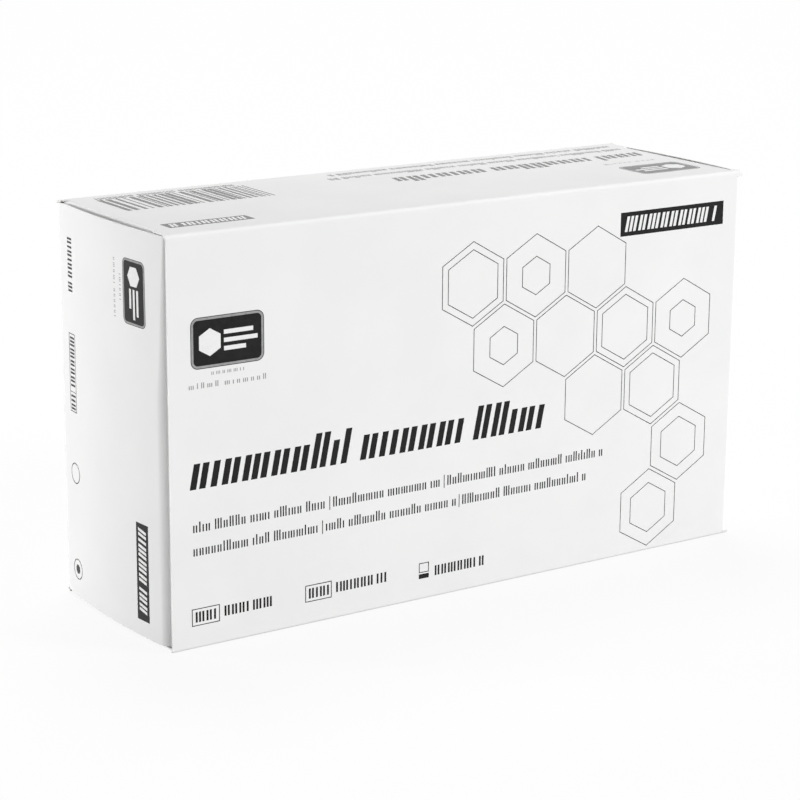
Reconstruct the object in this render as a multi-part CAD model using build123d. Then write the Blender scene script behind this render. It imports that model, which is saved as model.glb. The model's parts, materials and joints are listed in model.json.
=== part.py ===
from build123d import *
import math
import os
from collections import namedtuple

# A folding carton with reverse tuck ends, in millimetres. X runs along its length, Y from the
# front panel to the back panel, and Z up from the surface that it stands on.
CARTON_LENGTH = 200.0
CARTON_DEPTH = 64.0
CARTON_HEIGHT = 116.0
BOARD = 0.5

# Folds, as radii on the inner face of the board
FRONT_TOP_FOLD = 1.2
SHARP_FOLD = 0.3
DUST_FOLD = 1.5
HINGE_FOLD = 1.5
TUCK_FOLD = 5.5
TIGHT_TUCK_FOLD = 1.0
TIGHT_LENGTH = 46.0

# Closure flaps: a bowed closure panel, then the tuck fold, then the tab that slides into the carton.
# The tuck fold is soft, and tightens over a length below its upper end.
CLOSURE_BOW = 1.4
CLOSURE_SETBACK = 0.4
SHOULDER_LENGTH = 2.0
SHOULDER_GAP = 0.2
TUCK_RELIEF = 1.4
TAB_DEPTH = 18.0
TAB_TAPER = 4.0
TAB_CORNER = 8.0
TAB_CLEARANCE = 0.3
CREASE_GAP = 0.05

# Dust flaps, behind the closure flaps
DUST_LENGTH = 43.0
DUST_CLEARANCE = 0.3
DUST_RELIEF = 1.4
DUST_SHOULDER = 12.0
DUST_TAPER = 7.0
DUST_CORNER = 5.0

# Glued seam at the foot of the back panel
GLUE_FLAP = 14.0
GLUE_TAPER = 6.0
GLUE_SETBACK = 5.0
SEAM_STEP = 0.4

half_length = CARTON_LENGTH / 2
half_depth = CARTON_DEPTH / 2
mid_height = Plane.XY.offset(CARTON_HEIGHT / 2)
beyond = CARTON_LENGTH + CARTON_DEPTH + CARTON_HEIGHT

front_top_outer = FRONT_TOP_FOLD + BOARD
sharp_outer = SHARP_FOLD + BOARD
dust_outer = DUST_FOLD + BOARD
hinge_outer = HINGE_FOLD + BOARD
tuck_outer = TUCK_FOLD + BOARD
tight_tuck_outer = TIGHT_TUCK_FOLD + BOARD

# The left end is worked out here. A half turn about Z makes the right end of it.
HINGE_MIDDLE = 135.0
hinge_centre = Vector(-half_length + hinge_outer, half_depth - hinge_outer)
half_crease = math.degrees(CREASE_GAP / 2 / hinge_outer)
dust_face = -half_length + BOARD + DUST_CLEARANCE

# An arc seen from above, by the board's outer face, turning counterclockwise in degrees
Arc = namedtuple("Arc", "centre radius start end")


def polar(centre, radius, angle):
    """The point at an angle in degrees on a circle."""
    turn = math.radians(angle)
    return centre + Vector(math.cos(turn), math.sin(turn)) * radius


def heading(start, end):
    """The direction from one point to another, from 0 to 360 degrees."""
    way = end - start
    return math.degrees(math.atan2(way.Y, way.X)) % 360


hinge_axis = polar(hinge_centre, hinge_outer, HINGE_MIDDLE)


def circle_round(first, first_radius, second, second_radius, radius):
    """The centre of a circle that holds two smaller ones and touches both, on their inner side."""
    way = second - first
    reach_first = radius - first_radius
    reach_second = radius - second_radius
    along = (reach_first**2 - reach_second**2 + way.length**2) / (2 * way.length)
    across = math.sqrt(reach_first**2 - along**2)
    step = way.normalized()
    return first + step * along + Vector(-step.Y, step.X) * across


def flap_arcs(layers, fold_radius):
    """A closure flap from above: half hinge fold, bowed closure, tuck fold and tab, each tangent to
    the next. The tab is round about the hinge axis, so it slides out along itself. Layers of board
    lie outside it."""
    tab_radius = hinge_axis.Y + half_depth - layers * BOARD - TAB_CLEARANCE
    fold_x = -half_length + fold_radius
    drop = math.sqrt((tab_radius - fold_radius) ** 2 - (fold_x - hinge_axis.X) ** 2)
    fold_centre = Vector(fold_x, hinge_axis.Y - drop)
    half_chord = (fold_centre - hinge_centre).length / 2
    closure_radius = (half_chord**2 + CLOSURE_BOW**2) / (2 * CLOSURE_BOW)
    closure_centre = circle_round(hinge_centre, hinge_outer, fold_centre, fold_radius, closure_radius)
    closure_start = heading(closure_centre, hinge_centre)
    fold_start = heading(closure_centre, fold_centre)
    tab_start = heading(hinge_axis, fold_centre)
    tip_x = -half_length + tuck_outer + TAB_DEPTH
    tab_end = 270 + math.degrees(math.asin((tip_x - hinge_axis.X) / tab_radius))
    return (
        Arc(hinge_centre, hinge_outer, HINGE_MIDDLE + half_crease, closure_start),
        Arc(closure_centre, closure_radius, closure_start, fold_start),
        Arc(fold_centre, fold_radius, fold_start, tab_start),
        Arc(hinge_axis, tab_radius, tab_start, tab_end),
    )


def tuck_centre(layers):
    """The centre of the soft part of the tuck fold, from above."""
    return flap_arcs(layers, tuck_outer)[2].centre


def bent_strip(*arcs):
    """The section of a strip of board whose outer face follows the arcs."""
    outer = [CenterArc(a.centre, a.radius, a.start, a.end - a.start) for a in arcs]
    inner = [CenterArc(a.centre, a.radius - BOARD, a.start, a.end - a.start) for a in arcs]
    cut_edges = [Line(outer[0] @ 0, inner[0] @ 0), Line(outer[-1] @ 1, inner[-1] @ 1)]
    return make_face(outer + inner + cut_edges)


def along_x(sketch, low, high):
    """A sketch in the YZ plane, pulled from one X to another."""
    return extrude(Plane.YZ.offset(low) * sketch, amount=high - low)


def along_y(sketch, low, high):
    """A sketch in the XZ plane, pulled from one Y to another."""
    return extrude(Plane.XZ.offset(-high) * sketch, amount=high - low)


def along_z(sketch, low, high):
    """A sketch in the XY plane, pulled from one Z to another."""
    return extrude(Plane.XY.offset(low) * sketch, amount=high - low)


def block(low, high):
    """The box between two corners."""
    return Pos((Vector(*low) + Vector(*high)) / 2) * Box(*(Vector(*high) - Vector(*low)))


def outline(corners, radii):
    """A closed outline, each corner rounded by its own radius, as a face."""
    return make_face(FilletPolyline(*corners, radius=radii, close=True))


def sleeve_path(inset):
    """The walls across the carton, from the back panel's cut edge over the top to the seam fold."""
    side = half_depth - inset
    top = CARTON_HEIGHT - inset
    corners = [
        (side, sharp_outer + SEAM_STEP),
        (side, top),
        (-side, top),
        (-side, inset),
        (half_depth - BOARD - sharp_outer, inset),
    ]
    outer_radii = [sharp_outer, front_top_outer, sharp_outer]
    return FilletPolyline(*corners, radius=[radius - inset for radius in outer_radii])


def sleeve():
    """Front, top, back and bottom panels with the glue flap bonded inside the back panel."""
    outer = sleeve_path(0)
    inner = sleeve_path(BOARD)
    cut_edges = [Line(outer @ 0, inner @ 0), Line(outer @ 1, inner @ 1)]
    walls = make_face(outer.edges() + inner.edges() + cut_edges)
    seam_centre = Vector(half_depth - BOARD - sharp_outer, sharp_outer)
    seam_fold = bent_strip(Arc(seam_centre, sharp_outer, 270, 360))
    root = half_length - GLUE_SETBACK
    tip = root - GLUE_TAPER
    tip_height = sharp_outer + GLUE_FLAP
    corners = [(-root, sharp_outer), (root, sharp_outer), (tip, tip_height), (-tip, tip_height)]
    glue_outline = make_face(Polyline(*corners, close=True))
    glue_flap = along_y(glue_outline, half_depth - 2 * BOARD, half_depth - BOARD)
    return along_x(walls + seam_fold, -half_length, half_length) + glue_flap


def end_cuts(hinge_top_fold, tuck_top_fold, dust_low, dust_high):
    """What the die cuts from the sleeve at the left end, with the hinge on the back panel's side.
    The top and bottom panels keep their full length at the corners, by the folds to the long sides."""
    roll = dust_face + dust_outer
    middle = CARTON_HEIGHT / 2
    top = block((-beyond, tuck_top_fold - half_depth, middle), (dust_face, hinge_centre.Y, beyond))
    bottom = block((-beyond, sharp_outer - half_depth, -beyond), (dust_face, hinge_centre.Y, middle))
    hinge = block(
        (-beyond, half_depth - BOARD, sharp_outer),
        (hinge_centre.X, beyond, CARTON_HEIGHT - hinge_top_fold),
    )
    upper_roll = block((-beyond, dust_low, CARTON_HEIGHT - dust_outer), (roll, dust_high, beyond))
    lower_roll = mirror(upper_roll, about=mid_height)
    return [top, bottom, hinge, upper_roll, lower_roll]


def dust_flap(low, high):
    """The upper left dust flap: a rolled fold and a plate with a relieved tuck side."""
    root = CARTON_HEIGHT - dust_outer
    tip = CARTON_HEIGHT - DUST_LENGTH
    roll = bent_strip(Arc(Vector(dust_face + dust_outer, root), dust_outer, 90, 180))
    corners = [
        (low, root),
        (low, root - DUST_SHOULDER),
        (low + DUST_TAPER, tip),
        (high - DUST_RELIEF, tip),
        (high, root),
    ]
    plate = outline(corners, [0, DUST_CORNER, DUST_CORNER, DUST_CORNER, 0])
    return along_y(roll, low, high) + along_x(plate, dust_face, dust_face + BOARD)


def hinge_span(hinge_top_fold):
    """The lowest and highest Z of a hinge fold, clear of the folds above and below it."""
    return sharp_outer + SHOULDER_GAP, CARTON_HEIGHT - hinge_top_fold - SHOULDER_GAP


def hinge_fold(hinge_top_fold):
    """The half of the left hinge fold that stays with the back panel."""
    strip = bent_strip(Arc(hinge_centre, hinge_outer, 90, HINGE_MIDDLE - half_crease))
    return along_z(strip, *hinge_span(hinge_top_fold))


def carton_end(sheet, hinge_top_fold, tuck_top_fold, layers):
    """The sleeve with its left end cut and folded."""
    low = tuck_centre(layers).Y + DUST_RELIEF
    high = half_depth - hinge_top_fold - DUST_RELIEF
    upper = dust_flap(low, high)
    folds = [hinge_fold(hinge_top_fold), upper, mirror(upper, about=mid_height)]
    return sheet - end_cuts(hinge_top_fold, tuck_top_fold, low, high) + folds


def closure_mask(layers, hinge_top_fold, tuck_top_fold):
    """The flap's outline seen along the carton: shoulders by the hinge and a nose inside the walls."""
    low = CLOSURE_SETBACK
    high = CARTON_HEIGHT - CLOSURE_SETBACK
    hinge_low, hinge_high = hinge_span(hinge_top_fold)
    inset = BOARD + TAB_CLEARANCE
    nose = -half_depth + layers * BOARD + TAB_CLEARANCE
    shoulder = hinge_centre.Y - SHOULDER_LENGTH
    low_step = tuck_centre(layers).Y
    high_step = flap_arcs(layers, tight_tuck_outer)[2].centre.Y
    corners = [
        (nose, inset),
        (low_step - TUCK_RELIEF, inset),
        (low_step, low),
        (shoulder, low),
        (hinge_centre.Y, hinge_low),
        (half_depth, hinge_low),
        (half_depth, hinge_high),
        (hinge_centre.Y, hinge_high),
        (shoulder, high),
        (high_step, high),
        (high_step - BOARD, CARTON_HEIGHT - inset),
        (nose, CARTON_HEIGHT - inset),
    ]
    radii = [0] * len(corners)
    radii[0] = sharp_outer - inset
    radii[-1] = tuck_top_fold - inset
    return along_x(outline(corners, radii), -beyond, 0)


def tab_mask(root, tip, tuck_top_fold):
    """The flap's outline seen from the front: the tab narrows to its tip and has round free corners."""
    low = sharp_outer + CLOSURE_SETBACK
    high = CARTON_HEIGHT - tuck_top_fold - CLOSURE_SETBACK
    corners = [
        (-beyond, 0),
        (root, 0),
        (root, low),
        (tip, low + TAB_TAPER),
        (tip, high - TAB_TAPER),
        (root, high),
        (root, CARTON_HEIGHT),
        (-beyond, CARTON_HEIGHT),
    ]
    radii = [0] * len(corners)
    radii[3] = TAB_CORNER
    radii[4] = TAB_CORNER
    return along_y(outline(corners, radii), -beyond, beyond)


def tuck_flap(hinge_top_fold, tuck_top_fold, layers):
    """The left closure flap, hinged on the back panel, with its tab inside the front panel."""
    soft = bent_strip(*flap_arcs(layers, tuck_outer))
    tight = bent_strip(*flap_arcs(layers, tight_tuck_outer))
    tightens = CARTON_HEIGHT - TIGHT_LENGTH
    upper = loft([Plane.XY.offset(tightens) * soft, Plane.XY.offset(CARTON_HEIGHT) * tight], ruled=True)
    sheet = along_z(soft, 0, tightens) + upper
    root = tuck_centre(layers).X
    seen_along = closure_mask(layers, hinge_top_fold, tuck_top_fold)
    return sheet & seen_along & tab_mask(root, root + TAB_DEPTH, tuck_top_fold)


def carton_body():
    """The folded and glued sheet without its two closure flaps."""
    left_done = carton_end(sleeve(), sharp_outer, front_top_outer, 1)
    turned = Rot(Z=180) * left_done
    return Rot(Z=180) * carton_end(turned, front_top_outer, sharp_outer, 2)


nodes = {
    "carton_body": carton_body(),
    "left_tuck_flap": tuck_flap(sharp_outer, front_top_outer, 1),
    "right_tuck_flap": Rot(Z=180) * tuck_flap(front_top_outer, sharp_outer, 2),
}

os.makedirs("parts", exist_ok=True)
for name, shape in nodes.items():
    export_step(shape, f"parts/{name}.step")
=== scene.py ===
"""Looks of the folding carton: coated board, black and grey print without words, white studio and camera."""
import json
import math
import random
from collections import namedtuple

import bmesh
import bpy
from mathutils import Matrix, Vector

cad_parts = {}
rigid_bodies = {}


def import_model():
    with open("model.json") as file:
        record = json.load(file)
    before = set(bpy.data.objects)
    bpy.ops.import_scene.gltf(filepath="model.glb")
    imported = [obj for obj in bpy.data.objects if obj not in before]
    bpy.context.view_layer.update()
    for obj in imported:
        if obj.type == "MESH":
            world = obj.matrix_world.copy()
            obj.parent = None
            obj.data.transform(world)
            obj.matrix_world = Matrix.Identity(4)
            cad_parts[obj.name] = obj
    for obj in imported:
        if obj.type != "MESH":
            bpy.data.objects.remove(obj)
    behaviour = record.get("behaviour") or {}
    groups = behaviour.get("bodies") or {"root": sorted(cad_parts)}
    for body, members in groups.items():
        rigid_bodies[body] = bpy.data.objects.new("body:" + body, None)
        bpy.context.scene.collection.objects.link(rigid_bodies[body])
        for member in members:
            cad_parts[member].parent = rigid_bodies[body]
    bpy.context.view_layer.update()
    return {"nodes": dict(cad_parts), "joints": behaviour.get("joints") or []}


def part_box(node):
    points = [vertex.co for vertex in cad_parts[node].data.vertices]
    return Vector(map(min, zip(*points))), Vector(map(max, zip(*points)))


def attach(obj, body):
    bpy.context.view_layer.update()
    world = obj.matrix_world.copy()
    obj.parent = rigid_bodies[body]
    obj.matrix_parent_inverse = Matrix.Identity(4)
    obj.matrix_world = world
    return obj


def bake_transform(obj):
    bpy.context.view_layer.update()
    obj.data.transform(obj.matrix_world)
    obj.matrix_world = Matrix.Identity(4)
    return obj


for leftover in list(bpy.data.objects):
    bpy.data.objects.remove(leftover)

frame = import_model()

# Lengths in this script are millimetres, and MM turns them into the frame's metres
MM = 0.001
LOW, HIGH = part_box("carton_body")
CENTRE = (LOW + HIGH) / 2
LENGTH = (HIGH.x - LOW.x) / MM
DEPTH = (HIGH.y - LOW.y) / MM
HEIGHT = (HIGH.z - LOW.z) / MM
RIGHTWARDS = Vector((1, 0, 0))
BACKWARDS = Vector((0, 1, 0))
UPWARDS = Vector((0, 0, 1))

# Board: pairs of colours between which noise varies the clay coat outside, the fibre inside and cut edges
COAT = ((0.835, 0.835, 0.835), (0.855, 0.855, 0.853))
FIBRE = ((0.69, 0.685, 0.675), (0.74, 0.735, 0.725))
CUT = ((0.78, 0.775, 0.765), (0.85, 0.845, 0.84))
COAT_GLOSS = 0.18
COAT_SMOOTHEST = 0.8
COAT_ROUGHEST = 0.88
FIBRE_EXTRA_ROUGHNESS = 0.1

# Which faces are cut edges: how squarely they face along an axis, and how near the sleeve's ends they lie
SLEEVE_EDGE_FACING = 0.9
SLEEVE_EDGE_REACH = 0.3
FLAP_EDGE_FACING = 0.5

# Noise: patches to the metre, detail, and how patches stretch along the board's grain. The range is the
# middle of what a noise gives.
NOISE_LOW = 0.35
NOISE_HIGH = 0.65
CLOUD_SCALE = 45.0
CLOUD_DETAIL = 3.0
SPECK_SCALE = 2200.0
SPECK_DETAIL = 5.0
SPECK_STRETCH = (0.4, 1.0, 1.0)
INK_SPECK_SCALE = 700.0
GRAIN_SCALE = 1500.0
GRAIN_DETAIL = 4.0
GRAIN_STRETCH = (0.35, 1.0, 1.0)
WAVE_SCALE = 30.0
WAVE_DETAIL = 2.0

# Bump: shares of fibres and waves in its height, its strength, and the height of a full step
GRAIN_SHARE = 0.02
WAVE_SHARE = 0.6
BUMP_STRENGTH = 0.25
BUMP_STEP = 0.5

# Inks: grey levels where they lie thin and full, roughness, gloss, and how high they stand on the board
Ink = namedtuple("Ink", "thin full roughness gloss level")
INKS = {
    "black": Ink(thin=0.011, full=0.006, roughness=0.18, gloss=0.2, level=0.02),
    "grey": Ink(thin=0.34, full=0.28, roughness=0.3, gloss=0.5, level=0.02),
    "white": Ink(thin=0.82, full=0.85, roughness=0.48, gloss=0.5, level=0.035),
}
INK_ROUGHNESS_RANGE = 0.04

# How ink is laid on the board: how far it reaches into the board, the steps in which it follows a bowed
# closure, and the distance from which the board is looked for
INK_FOOT = -0.05
BOW_STEP = 1.5
PROBE = 20.0

# Creases that the closure flaps swing on: the hinge fold's outer radius, the board, how far round the fold
# the strip of board reaches each way in degrees and then on into the flap, how far it lies under the
# surface, in how many steps it goes round the fold, and the height of its lower end
HINGE_RADIUS = 2.0
BOARD = 0.5
CREASE_REACH = 39.3
CREASE_TAIL = 2.0
CREASE_INSET = 0.02
CREASE_STEPS = 40
CREASE_FOOT = 0.6

# The way that each crease's middle looks, in degrees round the upright, and how far below the carton's top
# the strip ends on the sleeve and in the flap, where it closes the corner under the top panel
Crease = namedtuple("Crease", "middle sleeve_drop flap_drop")
LEFT_CREASE = Crease(middle=135.0, sleeve_drop=0.8, flap_drop=0.6)
RIGHT_CREASE = Crease(middle=315.0, sleeve_drop=1.5, flap_drop=0.6)

# Print that all panels share
PRINT_SEED = 11
THIN_LINE = 0.25
CORNER_POINTS = 6
RING_POINTS = 40
CELL_SIDES = 6

# Type is shown as stems that spell nothing: stem, slit in a letter, gap between letters, space between
# words, heights of low and tall letters, and slant
Style = namedtuple("Style", "stem slit gap space low tall slant")
TITLE = Style(stem=2.0, slit=0.9, gap=1.5, space=4.5, low=7.2, tall=10.0, slant=0.2)
LINE = Style(stem=0.42, slit=0.42, gap=0.62, space=1.6, low=2.1, tall=3.0, slant=0.0)
CODE = Style(stem=0.62, slit=0.42, gap=0.7, space=1.4, low=3.0, tall=3.0, slant=0.0)
CAPTION = Style(stem=0.3, slit=0.3, gap=1.0, space=2.0, low=1.1, tall=1.6, slant=0.0)
SMALL_CAPTION = Style(stem=0.22, slit=0.25, gap=0.8, space=1.6, low=0.9, tall=0.9, slant=0.0)
LABEL = Style(stem=1.0, slit=0.55, gap=0.95, space=2.2, low=4.6, tall=4.6, slant=0.2)
FEWEST_LETTERS = 4
MOST_LETTERS = 9
STEMS_IN_LETTER = (1, 2, 2, 2, 3)

# A row of type: its ink, where it starts, its base line, where it ends at the latest, and its style.
# A box: its lower left corner and its size. All are measured on a panel from its lower left corner.
Row = namedtuple("Row", "ink left base right style")
Box = namedtuple("Box", "left bottom width height")

# Badge: its plate, then its cell and bars as shares of the plate's width and height
BADGE_WIDTH = 22.8
BADGE_HEIGHT = 14.2
BADGE_RADIUS = 2.2
BADGE_EDGE = 0.2
BADGE_BAND = 0.65
BADGE_CELL_ACROSS = 0.26
BADGE_CELL_RADIUS = 0.27
BADGE_BARS_ACROSS = 0.45
BADGE_BAR_THICKNESS = 0.085
BadgeBar = namedtuple("BadgeBar", "up length")
BADGE_BARS = (BadgeBar(0.62, 0.4), BadgeBar(0.46, 0.46), BadgeBar(0.30, 0.3))

# Label: the height that its style is drawn for, and how far its stems stay from its sides
LABEL_HEIGHT = 7.2
LABEL_START = 1.6
LABEL_END = 2.2

# Symbol box with type in it and after it
SYMBOL_WIDTH = 8.8
SYMBOL_HEIGHT = 5.0
SYMBOL_TYPE_START = 1.2
SYMBOL_TYPE_END = 8.0
SYMBOL_TYPE_BASE = 1.0
AFTER_SYMBOL = 10.3
AFTER_SYMBOL_BASE = 1.2

# Tray symbol: a square over a bar
TRAY_WIDTH = 3.5
TRAY_BAR = 1.4
TRAY_SQUARE_FOOT = 1.8
TRAY_SQUARE_HEIGHT = 3.0

# Round symbols
SYMBOL_RADIUS = 3.1
SYMBOL_LINE = 0.3
SYMBOL_DOT = 1.4

# Bar code: the narrowest stripe, widths of stripes and gaps in such modules, and the ticks under it
BAR_MODULE = 0.5
BAR_STRIPES = (1, 1, 2, 3)
BAR_GAPS = (1, 2, 2, 3)
TICKS_INSET = 2.0
TICKS_DROP = 3.0

# Honeycomb: side of a cell, the place of the cell that the others are counted from, which cells of each
# row are there, the share of its cell that an outline fills, and the smaller outlines inside some
CELL_SIDE = 13.0
CELL_ORIGIN = (121.8, 53.0)
CELL_ROWS = {2: (-2, -1, 0), 1: (-1, 0, 1, 2), 0: (1, 2), -1: (3,), -2: (3,)}
CELL_FILL = 0.96
INNER_CELLS = (0.45, 0.62, 0.78)
INNER_CELL_CHANCE = 0.5

# Front and back: lines of type are cut by thin bars at the places between their ends
FRONT_BADGE = (6.9, 78.9)
FRONT_ROWS = (
    Row("grey", 13.2, 76.9, 23.4, SMALL_CAPTION),
    Row("grey", 6.2, 73.6, 31.4, CAPTION),
    Row("black", 6.0, 45.6, 126.0, TITLE),
)
BarredLine = namedtuple("BarredLine", "base places")
FRONT_LINES = (
    BarredLine(33.4, (6.0, 51.0, 90.2, 149.6)),
    BarredLine(26.7, (6.0, 48.6, 95.6, 144.0)),
)
AFTER_BAR = 0.9
BEFORE_BAR = 1.2
BAR_SHIFT = 0.35
BAR_DROP = 0.7
BAR_HEIGHT = 4.0
MarkedBox = namedtuple("MarkedBox", "left bottom right")
FRONT_SYMBOLS = (MarkedBox(6.1, 6.6, 32.0), MarkedBox(42.6, 6.6, 70.7))
FRONT_TRAY = (81.4, 6.4)
FRONT_CODE = Row("black", 87.0, 6.6, 105.0, CODE)
FRONT_LABEL = Box(152.8, 100.2, 40.0, 7.2)

# Ends, whose print reads downwards
END_BADGE = (9.0, 41.6)
END_BADGE_SCALE = 0.8
END_CAPTIONS = (
    Row("grey", 14.0, 39.6, 21.5, SMALL_CAPTION),
    Row("grey", 10.0, 36.4, 27.4, SMALL_CAPTION),
)
END_LABEL = Box(82.7, 45.8, 28.2, 6.1)
END_CODE = Row("black", 9.4, 7.0, 26.0, CODE)
END_SYMBOL_BOX = Box(37.0, 6.5, 23.0, 4.4)
END_SYMBOL_SPLIT = 54.0
END_SYMBOL_ROWS = (Row("black", 38.0, 7.2, 53.4, CODE), Row("black", 55.0, 7.2, 59.4, CODE))
PLAIN_SYMBOL = (78.2, 8.8)
DOTTED_SYMBOL = (107.2, 8.8)

# Top, whose print reads from behind
TOP_BADGE = (7.0, 39.6)
TOP_CAPTION = Row("grey", 10.0, 33.0, 31.6, CAPTION)
TOP_TITLE_SCALE = 0.79
TOP_TITLE = Row("black", 6.0, 19.4, 99.5, TITLE)
TOP_LINES = (Row("black", 6.0, 10.6, 117.0, LINE), Row("black", 6.0, 4.6, 113.0, LINE))
TOP_LABEL = Box(167.0, 48.5, 26.3, 5.8)
TOP_BAR_CODE = Box(143.5, 7.2, 49.0, 18.8)

# Floor: its half width and level, its greys for light and as seen, how near and far from the carton's
# middle its shadow fades, and how white it glows to the eye there
FLOOR_HALF = 5000.0
FLOOR_LEVEL = -0.05
FLOOR_GREY = (0.34, 0.34, 0.34)
FLOOR_WHITE = (0.95, 0.95, 0.95)
FADE_NEAR = 120.0
FADE_FAR = 360.0
GLOW_NEAR = 0.9
GLOW_FAR = 0.99

# Light: the surround's strength, and each lamp's place, side and power in watts
SURROUND = 0.12
Lamp = namedtuple("Lamp", "place side power")
LAMPS = {
    "right_lamp": Lamp(place=(3300, -3432, 860), side=1400, power=281.0),
    "left_lamp": Lamp(place=(-1151, 914, 150), side=240, power=20.9),
    "top_lamp": Lamp(place=(130, 325, 930), side=400, power=5.7),
}
WHITE = (1, 1, 1, 1)

# Camera, fitted to the corners of the carton in the photograph
VIEW_AZIMUTH = math.radians(-34.07)
VIEW_ELEVATION = math.radians(14.8)
VIEW_ROLL = math.radians(0.43)
VIEW_DISTANCE = 736.2
VIEW_SLIDE_RIGHT = -3.4
VIEW_SLIDE_UP = -7.24
LENS = 110.5
SENSOR = 36.0


def add_node(tree, kind, **values):
    """A shader node, with values set on its settings or on its input sockets by name."""
    made = tree.nodes.new(kind)
    for name, value in values.items():
        if hasattr(made, name):
            setattr(made, name, value)
        else:
            made.inputs[name.replace("_", " ")].default_value = value
    return made


def maths(tree, operation, first, second):
    """The result of a two-sided sum; each side is a socket or a number."""
    made = tree.nodes.new("ShaderNodeMath")
    made.operation = operation
    for socket, value in zip(made.inputs, (first, second)):
        if isinstance(value, (int, float)):
            socket.default_value = value
        else:
            tree.links.new(value, socket)
    return made.outputs[0]


def mixed(tree, factor, first, second):
    """A colour between two colours; each is a socket or a colour."""
    made = tree.nodes.new("ShaderNodeMix")
    made.data_type = "RGBA"
    tree.links.new(factor, made.inputs["Factor"])
    for socket, value in zip((made.inputs["A"], made.inputs["B"]), (first, second)):
        if isinstance(value, tuple):
            socket.default_value = (*value, 1.0)
        else:
            tree.links.new(value, socket)
    return made.outputs["Result"]


def spread(tree, source, low, high):
    """A noise value stretched from its usual middle range to low and high."""
    made = add_node(tree, "ShaderNodeMapRange", clamp=True)
    tree.links.new(source, made.inputs["Value"])
    made.inputs["From Min"].default_value = NOISE_LOW
    made.inputs["From Max"].default_value = NOISE_HIGH
    made.inputs["To Min"].default_value = low
    made.inputs["To Max"].default_value = high
    return made.outputs["Result"]


def noise(tree, coordinates, scale, detail, stretch=(1.0, 1.0, 1.0)):
    """Noise over the board, in patches of about 1 / scale metres, longer where stretch is small."""
    mapping = add_node(tree, "ShaderNodeMapping", Scale=stretch)
    tree.links.new(coordinates, mapping.inputs["Vector"])
    made = add_node(tree, "ShaderNodeTexNoise", Scale=scale, Detail=detail)
    tree.links.new(mapping.outputs["Vector"], made.inputs["Vector"])
    return made.outputs["Fac"]


def new_material(name):
    """An empty node material, with its tree, its main shader and its object coordinates."""
    material = bpy.data.materials.new(name)
    material.use_nodes = True
    tree = material.node_tree
    tree.nodes.clear()
    output = tree.nodes.new("ShaderNodeOutputMaterial")
    shader = tree.nodes.new("ShaderNodeBsdfPrincipled")
    tree.links.new(shader.outputs["BSDF"], output.inputs["Surface"])
    place = tree.nodes.new("ShaderNodeTexCoord")
    return material, tree, shader, place


def paper_grain(tree, shader, place):
    """Fine bump of fibres that lie along the board's grain, and of the slow waves of a coated sheet."""
    fibres = noise(tree, place.outputs["Object"], GRAIN_SCALE, GRAIN_DETAIL, GRAIN_STRETCH)
    waves = noise(tree, place.outputs["Object"], WAVE_SCALE, WAVE_DETAIL)
    fine = maths(tree, "MULTIPLY", fibres, GRAIN_SHARE)
    slow = maths(tree, "MULTIPLY", waves, WAVE_SHARE)
    bump = add_node(tree, "ShaderNodeBump", Strength=BUMP_STRENGTH, Distance=BUMP_STEP * MM)
    tree.links.new(maths(tree, "ADD", fine, slow), bump.inputs["Height"])
    tree.links.new(bump.outputs["Normal"], shader.inputs["Normal"])


def outer_face(tree, place):
    """1 on the printed outside of the board and 0 on its inside."""
    offset = add_node(tree, "ShaderNodeVectorMath", operation="SUBTRACT")
    tree.links.new(place.outputs["Object"], offset.inputs[0])
    offset.inputs[1].default_value = CENTRE
    along = add_node(tree, "ShaderNodeVectorMath", operation="DOT_PRODUCT")
    tree.links.new(offset.outputs["Vector"], along.inputs[0])
    tree.links.new(place.outputs["Normal"], along.inputs[1])
    return maths(tree, "GREATER_THAN", along.outputs["Value"], 0.0)


def more_than(tree, source, axis, least):
    """1 where a vector's part along an axis, either way, is more than this."""
    parts = tree.nodes.new("ShaderNodeSeparateXYZ")
    tree.links.new(source, parts.inputs["Vector"])
    size = maths(tree, "ABSOLUTE", parts.outputs[axis], 0.0)
    return maths(tree, "GREATER_THAN", size, least)


def sleeve_edges(tree, place):
    """1 on the sleeve's cut edges at both ends."""
    facing = more_than(tree, place.outputs["Normal"], "X", SLEEVE_EDGE_FACING)
    ends = more_than(tree, place.outputs["Object"], "X", (LENGTH / 2 - SLEEVE_EDGE_REACH) * MM)
    return maths(tree, "MULTIPLY", facing, ends)


def flap_edges(tree, place):
    """1 on the cut edges at the top and bottom of a closure flap."""
    return more_than(tree, place.outputs["Normal"], "Z", FLAP_EDGE_FACING)


def board_material(name, cut_edges):
    """Folding boxboard: white clay coat outside, duller fibre inside and at its cut edges."""
    material, tree, shader, place = new_material(name)
    clouds = noise(tree, place.outputs["Object"], CLOUD_SCALE, CLOUD_DETAIL)
    specks = noise(tree, place.outputs["Object"], SPECK_SCALE, SPECK_DETAIL, SPECK_STRETCH)
    coat = mixed(tree, spread(tree, clouds, 0.0, 1.0), *COAT)
    fibre = mixed(tree, spread(tree, specks, 0.0, 1.0), *FIBRE)
    cut = mixed(tree, spread(tree, specks, 0.0, 1.0), *CUT)
    outside = outer_face(tree, place)
    edges = cut_edges(tree, place)
    colour = mixed(tree, edges, mixed(tree, outside, fibre, coat), cut)
    tree.links.new(colour, shader.inputs["Base Color"])
    shader.inputs["Specular IOR Level"].default_value = COAT_GLOSS
    smooth = spread(tree, specks, COAT_SMOOTHEST, COAT_ROUGHEST)
    inside = maths(tree, "SUBTRACT", 1.0, outside)
    dull = maths(tree, "MULTIPLY", inside, FIBRE_EXTRA_ROUGHNESS)
    tree.links.new(maths(tree, "ADD", smooth, dull), shader.inputs["Roughness"])
    paper_grain(tree, shader, place)
    return material


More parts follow.
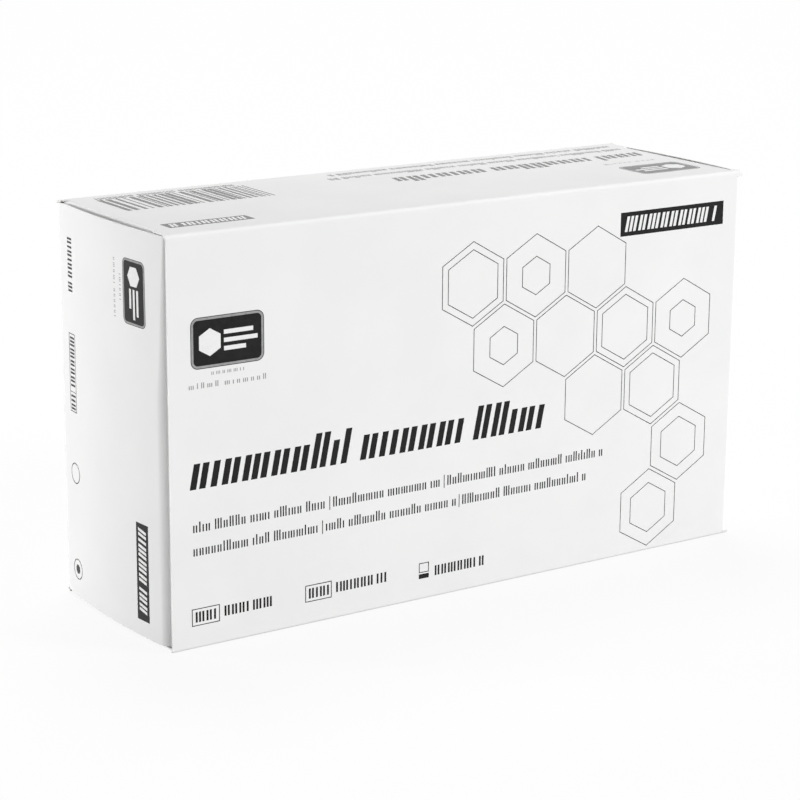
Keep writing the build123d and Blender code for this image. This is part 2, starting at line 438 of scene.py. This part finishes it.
def ink_material(name, ink):
    """Printing ink that lies a little unevenly on the coat."""
    material, tree, shader, place = new_material(name)
    shader.inputs["Specular IOR Level"].default_value = ink.gloss
    specks = noise(tree, place.outputs["Object"], INK_SPECK_SCALE, SPECK_DETAIL)
    full = (ink.full, ink.full, ink.full)
    thin = (ink.thin, ink.thin, ink.thin)
    tree.links.new(mixed(tree, spread(tree, specks, 0.0, 1.0), full, thin), shader.inputs["Base Color"])
    smoothest = ink.roughness - INK_ROUGHNESS_RANGE
    roughest = ink.roughness + INK_ROUGHNESS_RANGE
    tree.links.new(spread(tree, specks, smoothest, roughest), shader.inputs["Roughness"])
    paper_grain(tree, shader, place)
    return material


def rectangle(left, bottom, width, height):
    """Corner points of an upright rectangle."""
    right = left + width
    top = bottom + height
    return [(left, bottom), (right, bottom), (right, top), (left, top)]


def slanted(left, bottom, width, height, slant):
    """Corner points of a stem that leans to the right."""
    lean = height * slant
    right = left + width
    top = bottom + height
    return [(left, bottom), (right, bottom), (right + lean, top), (left + lean, top)]


def arc(centre, radius, first, last, points):
    """Points along a circle between two angles in degrees."""
    steps = [math.radians(first + (last - first) * i / (points - 1)) for i in range(points)]
    return [(centre[0] + radius * math.cos(a), centre[1] + radius * math.sin(a)) for a in steps]


def rounded(left, bottom, width, height, radius):
    """A rectangle with round corners."""
    right = left + width - radius
    top = bottom + height - radius
    corners = [
        ((right, bottom + radius), -90),
        ((right, top), 0),
        ((left + radius, top), 90),
        ((left + radius, bottom + radius), 180),
    ]
    points = []
    for centre, first in corners:
        points += arc(centre, radius, first, first + 90, CORNER_POINTS)
    return points


def many_sided(centre, radius, sides):
    """A regular polygon with a point straight up."""
    return arc(centre, radius, 90, 90 + 360 * (sides - 1) / sides, sides)


class Panel:
    """A face of the carton that carries print: its lower left corner and the way its print reads."""

    def __init__(self, name, node, body, corner, right, up):
        self.name = name
        self.node = frame["nodes"][node]
        self.body = body
        self.corner = Vector(corner) * MM
        self.right = right
        self.up = up
        self.outward = right.cross(up)
        self.shapes = {ink: [] for ink in INKS}

    def fill(self, ink, outline):
        """Prints a plain shape."""
        self.shapes[ink].append((outline, None))

    def ring(self, ink, outline, hole):
        """Prints what lies between an outline and a hole with as many points."""
        self.shapes[ink].append((outline, hole))

    def on_board(self, across, along, above):
        """The point at this height over the board's outside."""
        start = self.corner + (self.right * across + self.up * along + self.outward * PROBE) * MM
        hit, spot, normal, _ = self.node.ray_cast(start, -self.outward)
        if not hit:
            raise ValueError(f"print on {self.name} misses the board at {across:.1f}, {along:.1f}")
        return spot + normal * above * MM


def add_slab(mesh, outline, hole, level):
    """A closed slab of ink over an outline, with a hole through it where one is given."""
    foot = [mesh.verts.new((u, v, INK_FOOT)) for u, v in outline]
    top = [mesh.verts.new((u, v, level)) for u, v in outline]
    count = len(outline)
    for i in range(count):
        j = (i + 1) % count
        mesh.faces.new((foot[i], foot[j], top[j], top[i]))
    if hole is None:
        mesh.faces.new(foot[::-1])
        mesh.faces.new(top)
        return
    foot_hole = [mesh.verts.new((u, v, INK_FOOT)) for u, v in hole]
    top_hole = [mesh.verts.new((u, v, level)) for u, v in hole]
    for i in range(count):
        j = (i + 1) % count
        mesh.faces.new((foot_hole[j], foot_hole[i], top_hole[i], top_hole[j]))
        mesh.faces.new((top[i], top[j], top_hole[j], top_hole[i]))
        mesh.faces.new((foot[j], foot[i], foot_hole[i], foot_hole[j]))


def cut_in_steps(mesh, step):
    """Cuts the slabs across, so that they can follow a bowed panel."""
    first = min(v.co.y for v in mesh.verts)
    last = max(v.co.y for v in mesh.verts)
    for i in range(1, math.ceil((last - first) / step)):
        parts = mesh.verts[:] + mesh.edges[:] + mesh.faces[:]
        bmesh.ops.bisect_plane(mesh, geom=parts, plane_co=(0, first + i * step, 0), plane_no=(0, 1, 0))


def add_piece(mesh, name, material):
    """The object that a finished mesh becomes."""
    data = bpy.data.meshes.new(name)
    mesh.to_mesh(data)
    mesh.free()
    data.materials.append(material)
    piece = bpy.data.objects.new(name, data)
    bpy.context.scene.collection.objects.link(piece)
    return piece


def print_piece(panel, ink, material, bowed):
    """All shapes of one ink on a panel, laid on the board as one piece."""
    mesh = bmesh.new()
    for outline, hole in panel.shapes[ink]:
        add_slab(mesh, outline, hole, INKS[ink].level)
    if bowed:
        cut_in_steps(mesh, BOW_STEP)
    for vertex in mesh.verts:
        vertex.co = panel.on_board(*vertex.co)
    piece = add_piece(mesh, f"{panel.name}_{ink}_print", material)
    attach(piece, panel.body)


def crease_side(centre, middle, radius):
    """Points round the fold at one radius, from the sleeve into the flap."""
    last = middle + CREASE_REACH
    points = arc(centre, radius, middle - CREASE_REACH, last, CREASE_STEPS)
    x, y = points[-1]
    slope = math.radians(last)
    return points + [(x - math.sin(slope) * CREASE_TAIL, y + math.cos(slope) * CREASE_TAIL)]


def crease_ring(centre, middle, first_level, last_level):
    """One end of the strip: its outer face, then its inner one backwards, at levels that change evenly."""
    outer = crease_side(centre, middle, HINGE_RADIUS - CREASE_INSET)
    inner = crease_side(centre, middle, HINGE_RADIUS - BOARD + CREASE_INSET)
    rise = (last_level - first_level) / CREASE_STEPS
    levels = [first_level + rise * i for i in range(len(outer))]
    along = list(zip(outer, levels)) + list(zip(inner, levels))[::-1]
    return [Vector((x, y, level)) * MM for (x, y), level in along]


def crease_mesh(foot_ring, top_ring):
    """The closed strip between its two ends."""
    mesh = bmesh.new()
    foot = [mesh.verts.new(point) for point in foot_ring]
    top = [mesh.verts.new(point) for point in top_ring]
    count = len(foot)
    for i in range(count):
        j = (i + 1) % count
        mesh.faces.new((foot[i], foot[j], top[j], top[i]))
    for i in range(CREASE_STEPS):
        k = count - 1 - i
        mesh.faces.new((foot[i + 1], foot[i], foot[k], foot[k - 1]))
        mesh.faces.new((top[i], top[i + 1], top[k - 1], top[k]))
    return mesh


def crease(joint, shape, material):
    """Board that stays whole across a closure flap's hinge, as a strip round the closed fold."""
    turn = math.radians(shape.middle)
    outward = Vector((math.cos(turn), math.sin(turn), 0.0))
    hinge = Vector(joint["pos_m"])
    centre = (hinge - outward * HINGE_RADIUS * MM) / MM
    foot = crease_ring(centre, shape.middle, CREASE_FOOT, CREASE_FOOT)
    top = crease_ring(centre, shape.middle, HEIGHT - shape.sleeve_drop, HEIGHT - shape.flap_drop)
    strip = add_piece(crease_mesh(foot, top), f"{joint['child']}_crease", material)
    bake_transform(strip)


def outlined(panel, ink, left, bottom, width, height):
    """The outline of a rectangle in thin line."""
    hole = rectangle(left + THIN_LINE, bottom + THIN_LINE, width - 2 * THIN_LINE, height - 2 * THIN_LINE)
    panel.ring(ink, rectangle(left, bottom, width, height), hole)


def scaled(style, scale):
    """A style of another size, with the same slant."""
    return Style(*(value * scale for value in style[:-1]), style.slant)


def type_row(panel, row, draw):
    """Stems in letter and word groups that stand for a row of type."""
    style = row.style
    at = row.left
    while at < row.right - style.stem:
        for _ in range(draw.randint(FEWEST_LETTERS, MOST_LETTERS)):
            height = draw.choice((style.low, style.low, style.tall))
            for _ in range(draw.choice(STEMS_IN_LETTER)):
                if at > row.right - style.stem:
                    return
                panel.fill(row.ink, slanted(at, row.base, style.stem, height, style.slant))
                at += style.stem + style.slit
            at += style.gap - style.slit
        at += style.space - style.gap


def badge(panel, left, bottom, scale=1.0):
    """A black plate with a grey band round it, a white cell and three white bars."""
    width = BADGE_WIDTH * scale
    height = BADGE_HEIGHT * scale

    def inset(by):
        side = by * scale
        radius = (BADGE_RADIUS - by) * scale
        return rounded(left + side, bottom + side, width - 2 * side, height - 2 * side, radius)

    panel.ring("black", inset(0.0), inset(BADGE_EDGE))
    panel.ring("grey", inset(BADGE_EDGE), inset(BADGE_EDGE + BADGE_BAND))
    panel.fill("black", inset(BADGE_EDGE + BADGE_BAND))
    cell = (left + width * BADGE_CELL_ACROSS, bottom + height / 2)
    panel.fill("white", many_sided(cell, height * BADGE_CELL_RADIUS, CELL_SIDES))
    start = left + width * BADGE_BARS_ACROSS
    thickness = height * BADGE_BAR_THICKNESS
    for bar in BADGE_BARS:
        panel.fill("white", rectangle(start, bottom + height * bar.up, width * bar.length, thickness))


def count_label(panel, box, draw):
    """A black block with a row of white stems in it."""
    panel.fill("black", rectangle(*box))
    scale = box.height / LABEL_HEIGHT
    style = scaled(LABEL, scale)
    base = box.bottom + (box.height - style.tall) / 2
    end = box.left + box.width - LABEL_END * scale
    type_row(panel, Row("white", box.left + LABEL_START * scale, base, end, style), draw)


def marked_box(panel, place, draw):
    """An outlined symbol box with bold stems in it, and the row of bold stems after it."""
    left = place.left
    bottom = place.bottom
    outlined(panel, "black", left, bottom, SYMBOL_WIDTH, SYMBOL_HEIGHT)
    base = bottom + SYMBOL_TYPE_BASE
    type_row(panel, Row("black", left + SYMBOL_TYPE_START, base, left + SYMBOL_TYPE_END, CODE), draw)
    base = bottom + AFTER_SYMBOL_BASE
    type_row(panel, Row("black", left + AFTER_SYMBOL, base, place.right, CODE), draw)


def tray_icon(panel, left, bottom):
    """An outlined square over a solid bar."""
    outlined(panel, "black", left, bottom + TRAY_SQUARE_FOOT, TRAY_WIDTH, TRAY_SQUARE_HEIGHT)
    panel.fill("black", rectangle(left, bottom, TRAY_WIDTH, TRAY_BAR))


def cell_lines(panel, centre, radius):
    """One six-sided outline."""
    outline = many_sided(centre, radius, CELL_SIDES)
    panel.ring("black", outline, many_sided(centre, radius - THIN_LINE, CELL_SIDES))


def honeycomb(panel, draw):
    """Loose cells in thin line, where the front has room beside its print."""
    step_across = CELL_SIDE * math.sqrt(3)
    step_up = CELL_SIDE * 1.5
    cells = [(across, up) for up, row in CELL_ROWS.items() for across in row]
    for across, up in cells:
        x = CELL_ORIGIN[0] + step_across * (across + up / 2)
        y = CELL_ORIGIN[1] + step_up * up
        cell_lines(panel, (x, y), CELL_SIDE * CELL_FILL)
        if draw.random() < INNER_CELL_CHANCE:
            cell_lines(panel, (x, y), CELL_SIDE * draw.choice(INNER_CELLS))


def barred_line(panel, line, draw):
    """A line of type in parts, with a thin upright bar between one part and the next."""
    for start, end in zip(line.places, line.places[1:]):
        type_row(panel, Row("black", start + AFTER_BAR, line.base, end - BEFORE_BAR, LINE), draw)
    for place in line.places[1:-1]:
        panel.fill("black", rectangle(place - BAR_SHIFT, line.base - BAR_DROP, THIN_LINE, BAR_HEIGHT))


def main_print(panel, draw):
    """The front's print: badge, captions, title, two lines, a row of marked boxes, a label and cells."""
    badge(panel, *FRONT_BADGE)
    for row in FRONT_ROWS:
        type_row(panel, row, draw)
    for line in FRONT_LINES:
        barred_line(panel, line, draw)
    for place in FRONT_SYMBOLS:
        marked_box(panel, place, draw)
    tray_icon(panel, *FRONT_TRAY)
    type_row(panel, FRONT_CODE, draw)
    count_label(panel, FRONT_LABEL, draw)
    honeycomb(panel, draw)


def symbol_ring(panel, centre):
    """A plain ring."""
    outline = many_sided(centre, SYMBOL_RADIUS, RING_POINTS)
    panel.ring("black", outline, many_sided(centre, SYMBOL_RADIUS - SYMBOL_LINE, RING_POINTS))


def end_print(panel, draw):
    """A closure's print: badge, captions, label and a row of symbols."""
    badge(panel, *END_BADGE, END_BADGE_SCALE)
    for row in END_CAPTIONS:
        type_row(panel, row, draw)
    count_label(panel, END_LABEL, draw)
    type_row(panel, END_CODE, draw)
    outlined(panel, "black", *END_SYMBOL_BOX)
    panel.fill("black", rectangle(END_SYMBOL_SPLIT, END_SYMBOL_BOX.bottom, THIN_LINE, END_SYMBOL_BOX.height))
    for row in END_SYMBOL_ROWS:
        type_row(panel, row, draw)
    symbol_ring(panel, PLAIN_SYMBOL)
    symbol_ring(panel, DOTTED_SYMBOL)
    panel.fill("black", many_sided(DOTTED_SYMBOL, SYMBOL_DOT, RING_POINTS))


def bar_code(panel, box, draw):
    """Stripes of mixed widths over a row of ticks."""
    at = box.left
    right = box.left + box.width
    while at < right - 2 * BAR_MODULE:
        stripe = BAR_MODULE * draw.choice(BAR_STRIPES)
        panel.fill("black", rectangle(at, box.bottom, stripe, box.height))
        at += stripe + BAR_MODULE * draw.choice(BAR_GAPS)
    ticks = Row("black", box.left + TICKS_INSET, box.bottom - TICKS_DROP, right - TICKS_INSET, LINE)
    type_row(panel, ticks, draw)


def top_print(panel, draw):
    """The top's print: badge, caption, title, two lines, a label and a bar code."""
    badge(panel, *TOP_BADGE)
    type_row(panel, TOP_CAPTION, draw)
    type_row(panel, TOP_TITLE._replace(style=scaled(TITLE, TOP_TITLE_SCALE)), draw)
    for row in TOP_LINES:
        type_row(panel, row, draw)
    count_label(panel, TOP_LABEL, draw)
    bar_code(panel, TOP_BAR_CODE, draw)


def print_panels(inks):
    """Prints both long sides, the top and both closures, in this order."""
    x = LENGTH / 2
    y = DEPTH / 2
    draw = random.Random(PRINT_SEED)
    front = Panel("front", "carton_body", "carton", (-x, -y, 0), RIGHTWARDS, UPWARDS)
    back = Panel("back", "carton_body", "carton", (x, y, 0), -RIGHTWARDS, UPWARDS)
    top = Panel("top", "carton_body", "carton", (x, y, HEIGHT), -RIGHTWARDS, -BACKWARDS)
    left = Panel("left_end", "left_tuck_flap", "left_flap", (-x, y, HEIGHT), -UPWARDS, -BACKWARDS)
    right = Panel("right_end", "right_tuck_flap", "right_flap", (x, -y, HEIGHT), -UPWARDS, BACKWARDS)
    layouts = {
        front: main_print,
        back: main_print,
        top: top_print,
        left: end_print,
        right: end_print,
    }
    for panel, layout in layouts.items():
        layout(panel, draw)
        for ink, material in inks.items():
            print_piece(panel, ink, material, layout is end_print)


def dress_board():
    """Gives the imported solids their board, and joins the closure flaps to the sleeve."""
    sleeve = board_material("sleeve_board", sleeve_edges)
    flap = board_material("flap_board", flap_edges)
    frame["nodes"]["carton_body"].material_slots[0].material = sleeve
    for name in ("left_tuck_flap", "right_tuck_flap"):
        frame["nodes"][name].material_slots[0].material = flap
    for joint, shape in zip(frame["joints"], (LEFT_CREASE, RIGHT_CREASE)):
        crease(joint, shape, flap)


def seen_directly(tree):
    """1 for rays from the camera, straight or by a reflection or clear surface, and 0 for light's own."""
    path = tree.nodes.new("ShaderNodeLightPath")
    first = maths(tree, "MAXIMUM", path.outputs["Is Camera Ray"], path.outputs["Is Glossy Ray"])
    return maths(tree, "MAXIMUM", first, path.outputs["Is Transmission Ray"])


def white_world():
    """Even white light from all round, on a background that is plain white to look at."""
    world = bpy.data.worlds.new("white_surround")
    world.use_nodes = True
    tree = world.node_tree
    tree.nodes.clear()
    light = add_node(tree, "ShaderNodeBackground", Color=WHITE, Strength=SURROUND)
    shown = add_node(tree, "ShaderNodeBackground", Color=WHITE, Strength=1.0)
    mix = tree.nodes.new("ShaderNodeMixShader")
    tree.links.new(seen_directly(tree), mix.inputs[0])
    tree.links.new(light.outputs[0], mix.inputs[1])
    tree.links.new(shown.outputs[0], mix.inputs[2])
    output = tree.nodes.new("ShaderNodeOutputWorld")
    tree.links.new(mix.outputs[0], output.inputs["Surface"])
    bpy.context.scene.world = world


def floor_glow(tree):
    """How white the floor glows, more so away from the carton."""
    place = tree.nodes.new("ShaderNodeTexCoord")
    reach = add_node(tree, "ShaderNodeVectorMath", operation="LENGTH")
    tree.links.new(place.outputs["Object"], reach.inputs[0])
    glow = add_node(tree, "ShaderNodeMapRange", clamp=True)
    tree.links.new(reach.outputs["Value"], glow.inputs["Value"])
    glow.inputs["From Min"].default_value = FADE_NEAR * MM
    glow.inputs["From Max"].default_value = FADE_FAR * MM
    glow.inputs["To Min"].default_value = GLOW_NEAR
    glow.inputs["To Max"].default_value = GLOW_FAR
    return glow.outputs["Result"]


def floor_material():
    """White paper sweep: it takes the carton's shadow, and looks white to the camera away from it."""
    material = bpy.data.materials.new("sweep_paper")
    material.use_nodes = True
    tree = material.node_tree
    tree.nodes.clear()
    seen = seen_directly(tree)
    paper = tree.nodes.new("ShaderNodeBsdfDiffuse")
    tree.links.new(mixed(tree, seen, FLOOR_GREY, FLOOR_WHITE), paper.inputs["Color"])
    light = add_node(tree, "ShaderNodeEmission", Color=WHITE, Strength=1.0)
    mix = tree.nodes.new("ShaderNodeMixShader")
    tree.links.new(maths(tree, "MULTIPLY", seen, floor_glow(tree)), mix.inputs[0])
    tree.links.new(paper.outputs[0], mix.inputs[1])
    tree.links.new(light.outputs[0], mix.inputs[2])
    output = tree.nodes.new("ShaderNodeOutputMaterial")
    tree.links.new(mix.outputs[0], output.inputs["Surface"])
    return material


def lay_floor():
    """A wide pale floor just under the carton."""
    half = FLOOR_HALF * MM
    level = FLOOR_LEVEL * MM
    data = bpy.data.meshes.new("floor")
    corners = [(-half, -half, level), (half, -half, level), (half, half, level), (-half, half, level)]
    data.from_pydata(corners, [], [(0, 1, 2, 3)])
    data.materials.append(floor_material())
    floor = bpy.data.objects.new("floor", data)
    bpy.context.scene.collection.objects.link(floor)


def area_lamp(name, shape):
    """A square soft lamp that points at the carton's middle, and isn't mirrored in the coat."""
    data = bpy.data.lights.new(name, "AREA")
    data.shape = "SQUARE"
    data.size = shape.side * MM
    data.energy = shape.power
    lamp = bpy.data.objects.new(name, data)
    lamp.location = Vector(shape.place) * MM
    lamp.rotation_euler = (CENTRE - lamp.location).to_track_quat("-Z", "Y").to_euler()
    lamp.visible_glossy = False
    bpy.context.scene.collection.objects.link(lamp)


def light_studio():
    """A white surround and three soft lamps: two that graze past the near corner, and one from above."""
    white_world()
    for name, shape in LAMPS.items():
        area_lamp(name, shape)


def set_camera():
    """The photograph's view of the carton."""
    flat = math.cos(VIEW_ELEVATION)
    across = math.sin(VIEW_AZIMUTH)
    along = math.cos(VIEW_AZIMUTH)
    back = Vector((across * flat, -along * flat, math.sin(VIEW_ELEVATION)))
    level = Vector((along, across, 0.0))
    upright = back.cross(level)
    right = level * math.cos(VIEW_ROLL) + upright * math.sin(VIEW_ROLL)
    up = upright * math.cos(VIEW_ROLL) - level * math.sin(VIEW_ROLL)
    data = bpy.data.cameras.new("camera")
    data.lens = LENS
    data.sensor_width = SENSOR
    camera = bpy.data.objects.new("camera", data)
    turn = Matrix((right, up, back)).transposed().to_4x4()
    place = CENTRE + (right * VIEW_SLIDE_RIGHT + up * VIEW_SLIDE_UP + back * VIEW_DISTANCE) * MM
    camera.matrix_world = Matrix.Translation(place) @ turn
    bpy.context.scene.collection.objects.link(camera)
    bpy.context.scene.camera = camera


bpy.context.scene.view_settings.view_transform = "Standard"
dress_board()
print_panels({name: ink_material(f"{name}_ink", ink) for name, ink in INKS.items()})
lay_floor()
light_studio()
set_camera()
